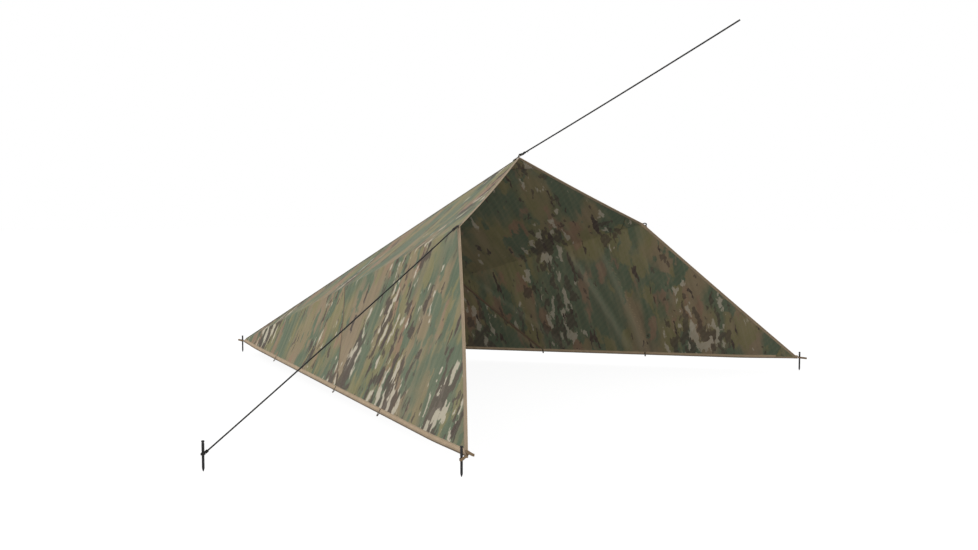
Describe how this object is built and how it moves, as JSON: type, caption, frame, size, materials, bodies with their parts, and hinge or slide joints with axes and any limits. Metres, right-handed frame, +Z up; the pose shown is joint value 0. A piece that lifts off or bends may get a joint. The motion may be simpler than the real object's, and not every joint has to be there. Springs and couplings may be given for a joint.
{
  "type": "tarp shelter",
  "caption": "Camouflage tarp pitched as a low ridge shelter with an open front, two hinged side flaps, corner pegs, side guy lines and a ridge cord to a tree.",
  "frame": {"origin": "on the rear peg's axis at ground level, where the ridge meets the ground", "axes": "+Z up, -Y towards the open front and the tree, +X towards the right-hand flap as seen by someone facing the opening; the mirror plane is X = 0"},
  "size_m": [4.999, 4.2166, 2.0957],
  "materials": {
    "camouflage_ripstop": "matt woven nylon with a ripstop grid and a printed multi-tone woodland pattern",
    "tan_binding_tape": "matt tan grosgrain binding tape",
    "webbing": "matt flat webbing",
    "cord": "matt dark grey braided cord",
    "black_peg": "satin black coating, worn at the point and cap"
  },
  "bodies": {
    "roof": {"apex_loop": "webbing", "apex_patch": "camouflage_ripstop", "rear_corner_loop": "webbing", "rear_patch": "camouflage_ripstop", "ridge_tape": "tan_binding_tape", "roof_left_front_cloth": "camouflage_ripstop", "roof_left_front_hem": "tan_binding_tape", "roof_left_rear_cloth": "camouflage_ripstop", "roof_left_seam_tape": "tan_binding_tape", "roof_right_front_cloth": "camouflage_ripstop", "roof_right_front_hem": "tan_binding_tape", "roof_right_rear_cloth": "camouflage_ripstop", "roof_right_seam_tape": "tan_binding_tape", "shoulder_left_loop": "webbing", "shoulder_left_patch": "camouflage_ripstop", "shoulder_right_loop": "webbing", "shoulder_right_patch": "camouflage_ripstop"},
    "left_flap": {"front_left_corner_loop": "webbing", "front_left_patch": "camouflage_ripstop", "left_flap_front_cloth": "camouflage_ripstop", "left_flap_front_hem": "tan_binding_tape", "left_flap_ground_hem": "tan_binding_tape", "left_flap_rear_cloth": "camouflage_ripstop", "left_flap_seam_tape": "tan_binding_tape", "left_hem_loops": "webbing"},
    "right_flap": {"front_right_corner_loop": "webbing", "front_right_patch": "camouflage_ripstop", "right_flap_front_cloth": "camouflage_ripstop", "right_flap_front_hem": "tan_binding_tape", "right_flap_ground_hem": "tan_binding_tape", "right_flap_rear_cloth": "camouflage_ripstop", "right_flap_seam_tape": "tan_binding_tape", "right_hem_loops": "webbing"},
    "tree_cord": {"tree_line": "cord", "apex_knot": "cord"},
    "left_guy": {"left_guy_line": "cord", "left_guy_knot": "cord", "left_peg_hitch": "cord"},
    "right_guy": {"right_guy_line": "cord", "right_guy_knot": "cord", "right_peg_hitch": "cord"},
    "rear_peg": {"rear_peg": "black_peg"},
    "front_left_peg": {"front_left_peg": "black_peg"},
    "front_right_peg": {"front_right_peg": "black_peg"},
    "guy_left_peg": {"guy_left_peg": "black_peg"},
    "guy_right_peg": {"guy_right_peg": "black_peg"}
  },
  "joints": [
    {"name": "left_flap_fold", "type": "hinge", "parent": "roof", "child": "left_flap", "pos_m": [0, 0, 0], "axis": [-0.2846, -0.9165, 0.281], "range_deg": [-15, 55]},
    {"name": "right_flap_fold", "type": "hinge", "parent": "roof", "child": "right_flap", "pos_m": [0, 0, 0], "axis": [-0.2846, 0.9165, -0.281], "range_deg": [-15, 55]},
    {"name": "left_guy_swing", "type": "hinge", "parent": "roof", "child": "left_guy", "pos_m": [-0.9625, -3.0489, 0.93688], "axis": [0, 0, 1], "range_deg": [-20, 10]},
    {"name": "right_guy_swing", "type": "hinge", "parent": "roof", "child": "right_guy", "pos_m": [0.9625, -3.0489, 0.93688], "axis": [0, 0, -1], "range_deg": [-20, 10]},
    {"name": "tree_line_swing", "type": "hinge", "parent": "roof", "child": "tree_cord", "pos_m": [0, -2.73591, 1.3581], "axis": [0, 0, 1], "range_deg": [-20, 20]},
    {"name": "rear_peg_pull", "type": "slide", "parent": "roof", "child": "rear_peg", "axis": [0, 0, 1], "range_m": [-0.03, 0.09]},
    {"name": "front_left_peg_pull", "type": "slide", "parent": "left_flap", "child": "front_left_peg", "axis": [0, 0, 1], "range_m": [-0.03, 0.09]},
    {"name": "front_right_peg_pull", "type": "slide", "parent": "right_flap", "child": "front_right_peg", "axis": [0, 0, 1], "range_m": [-0.03, 0.09]},
    {"name": "guy_left_peg_pull", "type": "slide", "parent": "left_guy", "child": "guy_left_peg", "axis": [0, 0, 1], "range_m": [-0.04, 0.07]},
    {"name": "guy_right_peg_pull", "type": "slide", "parent": "right_guy", "child": "guy_right_peg", "axis": [0, 0, 1], "range_m": [-0.04, 0.07]}
  ]
}
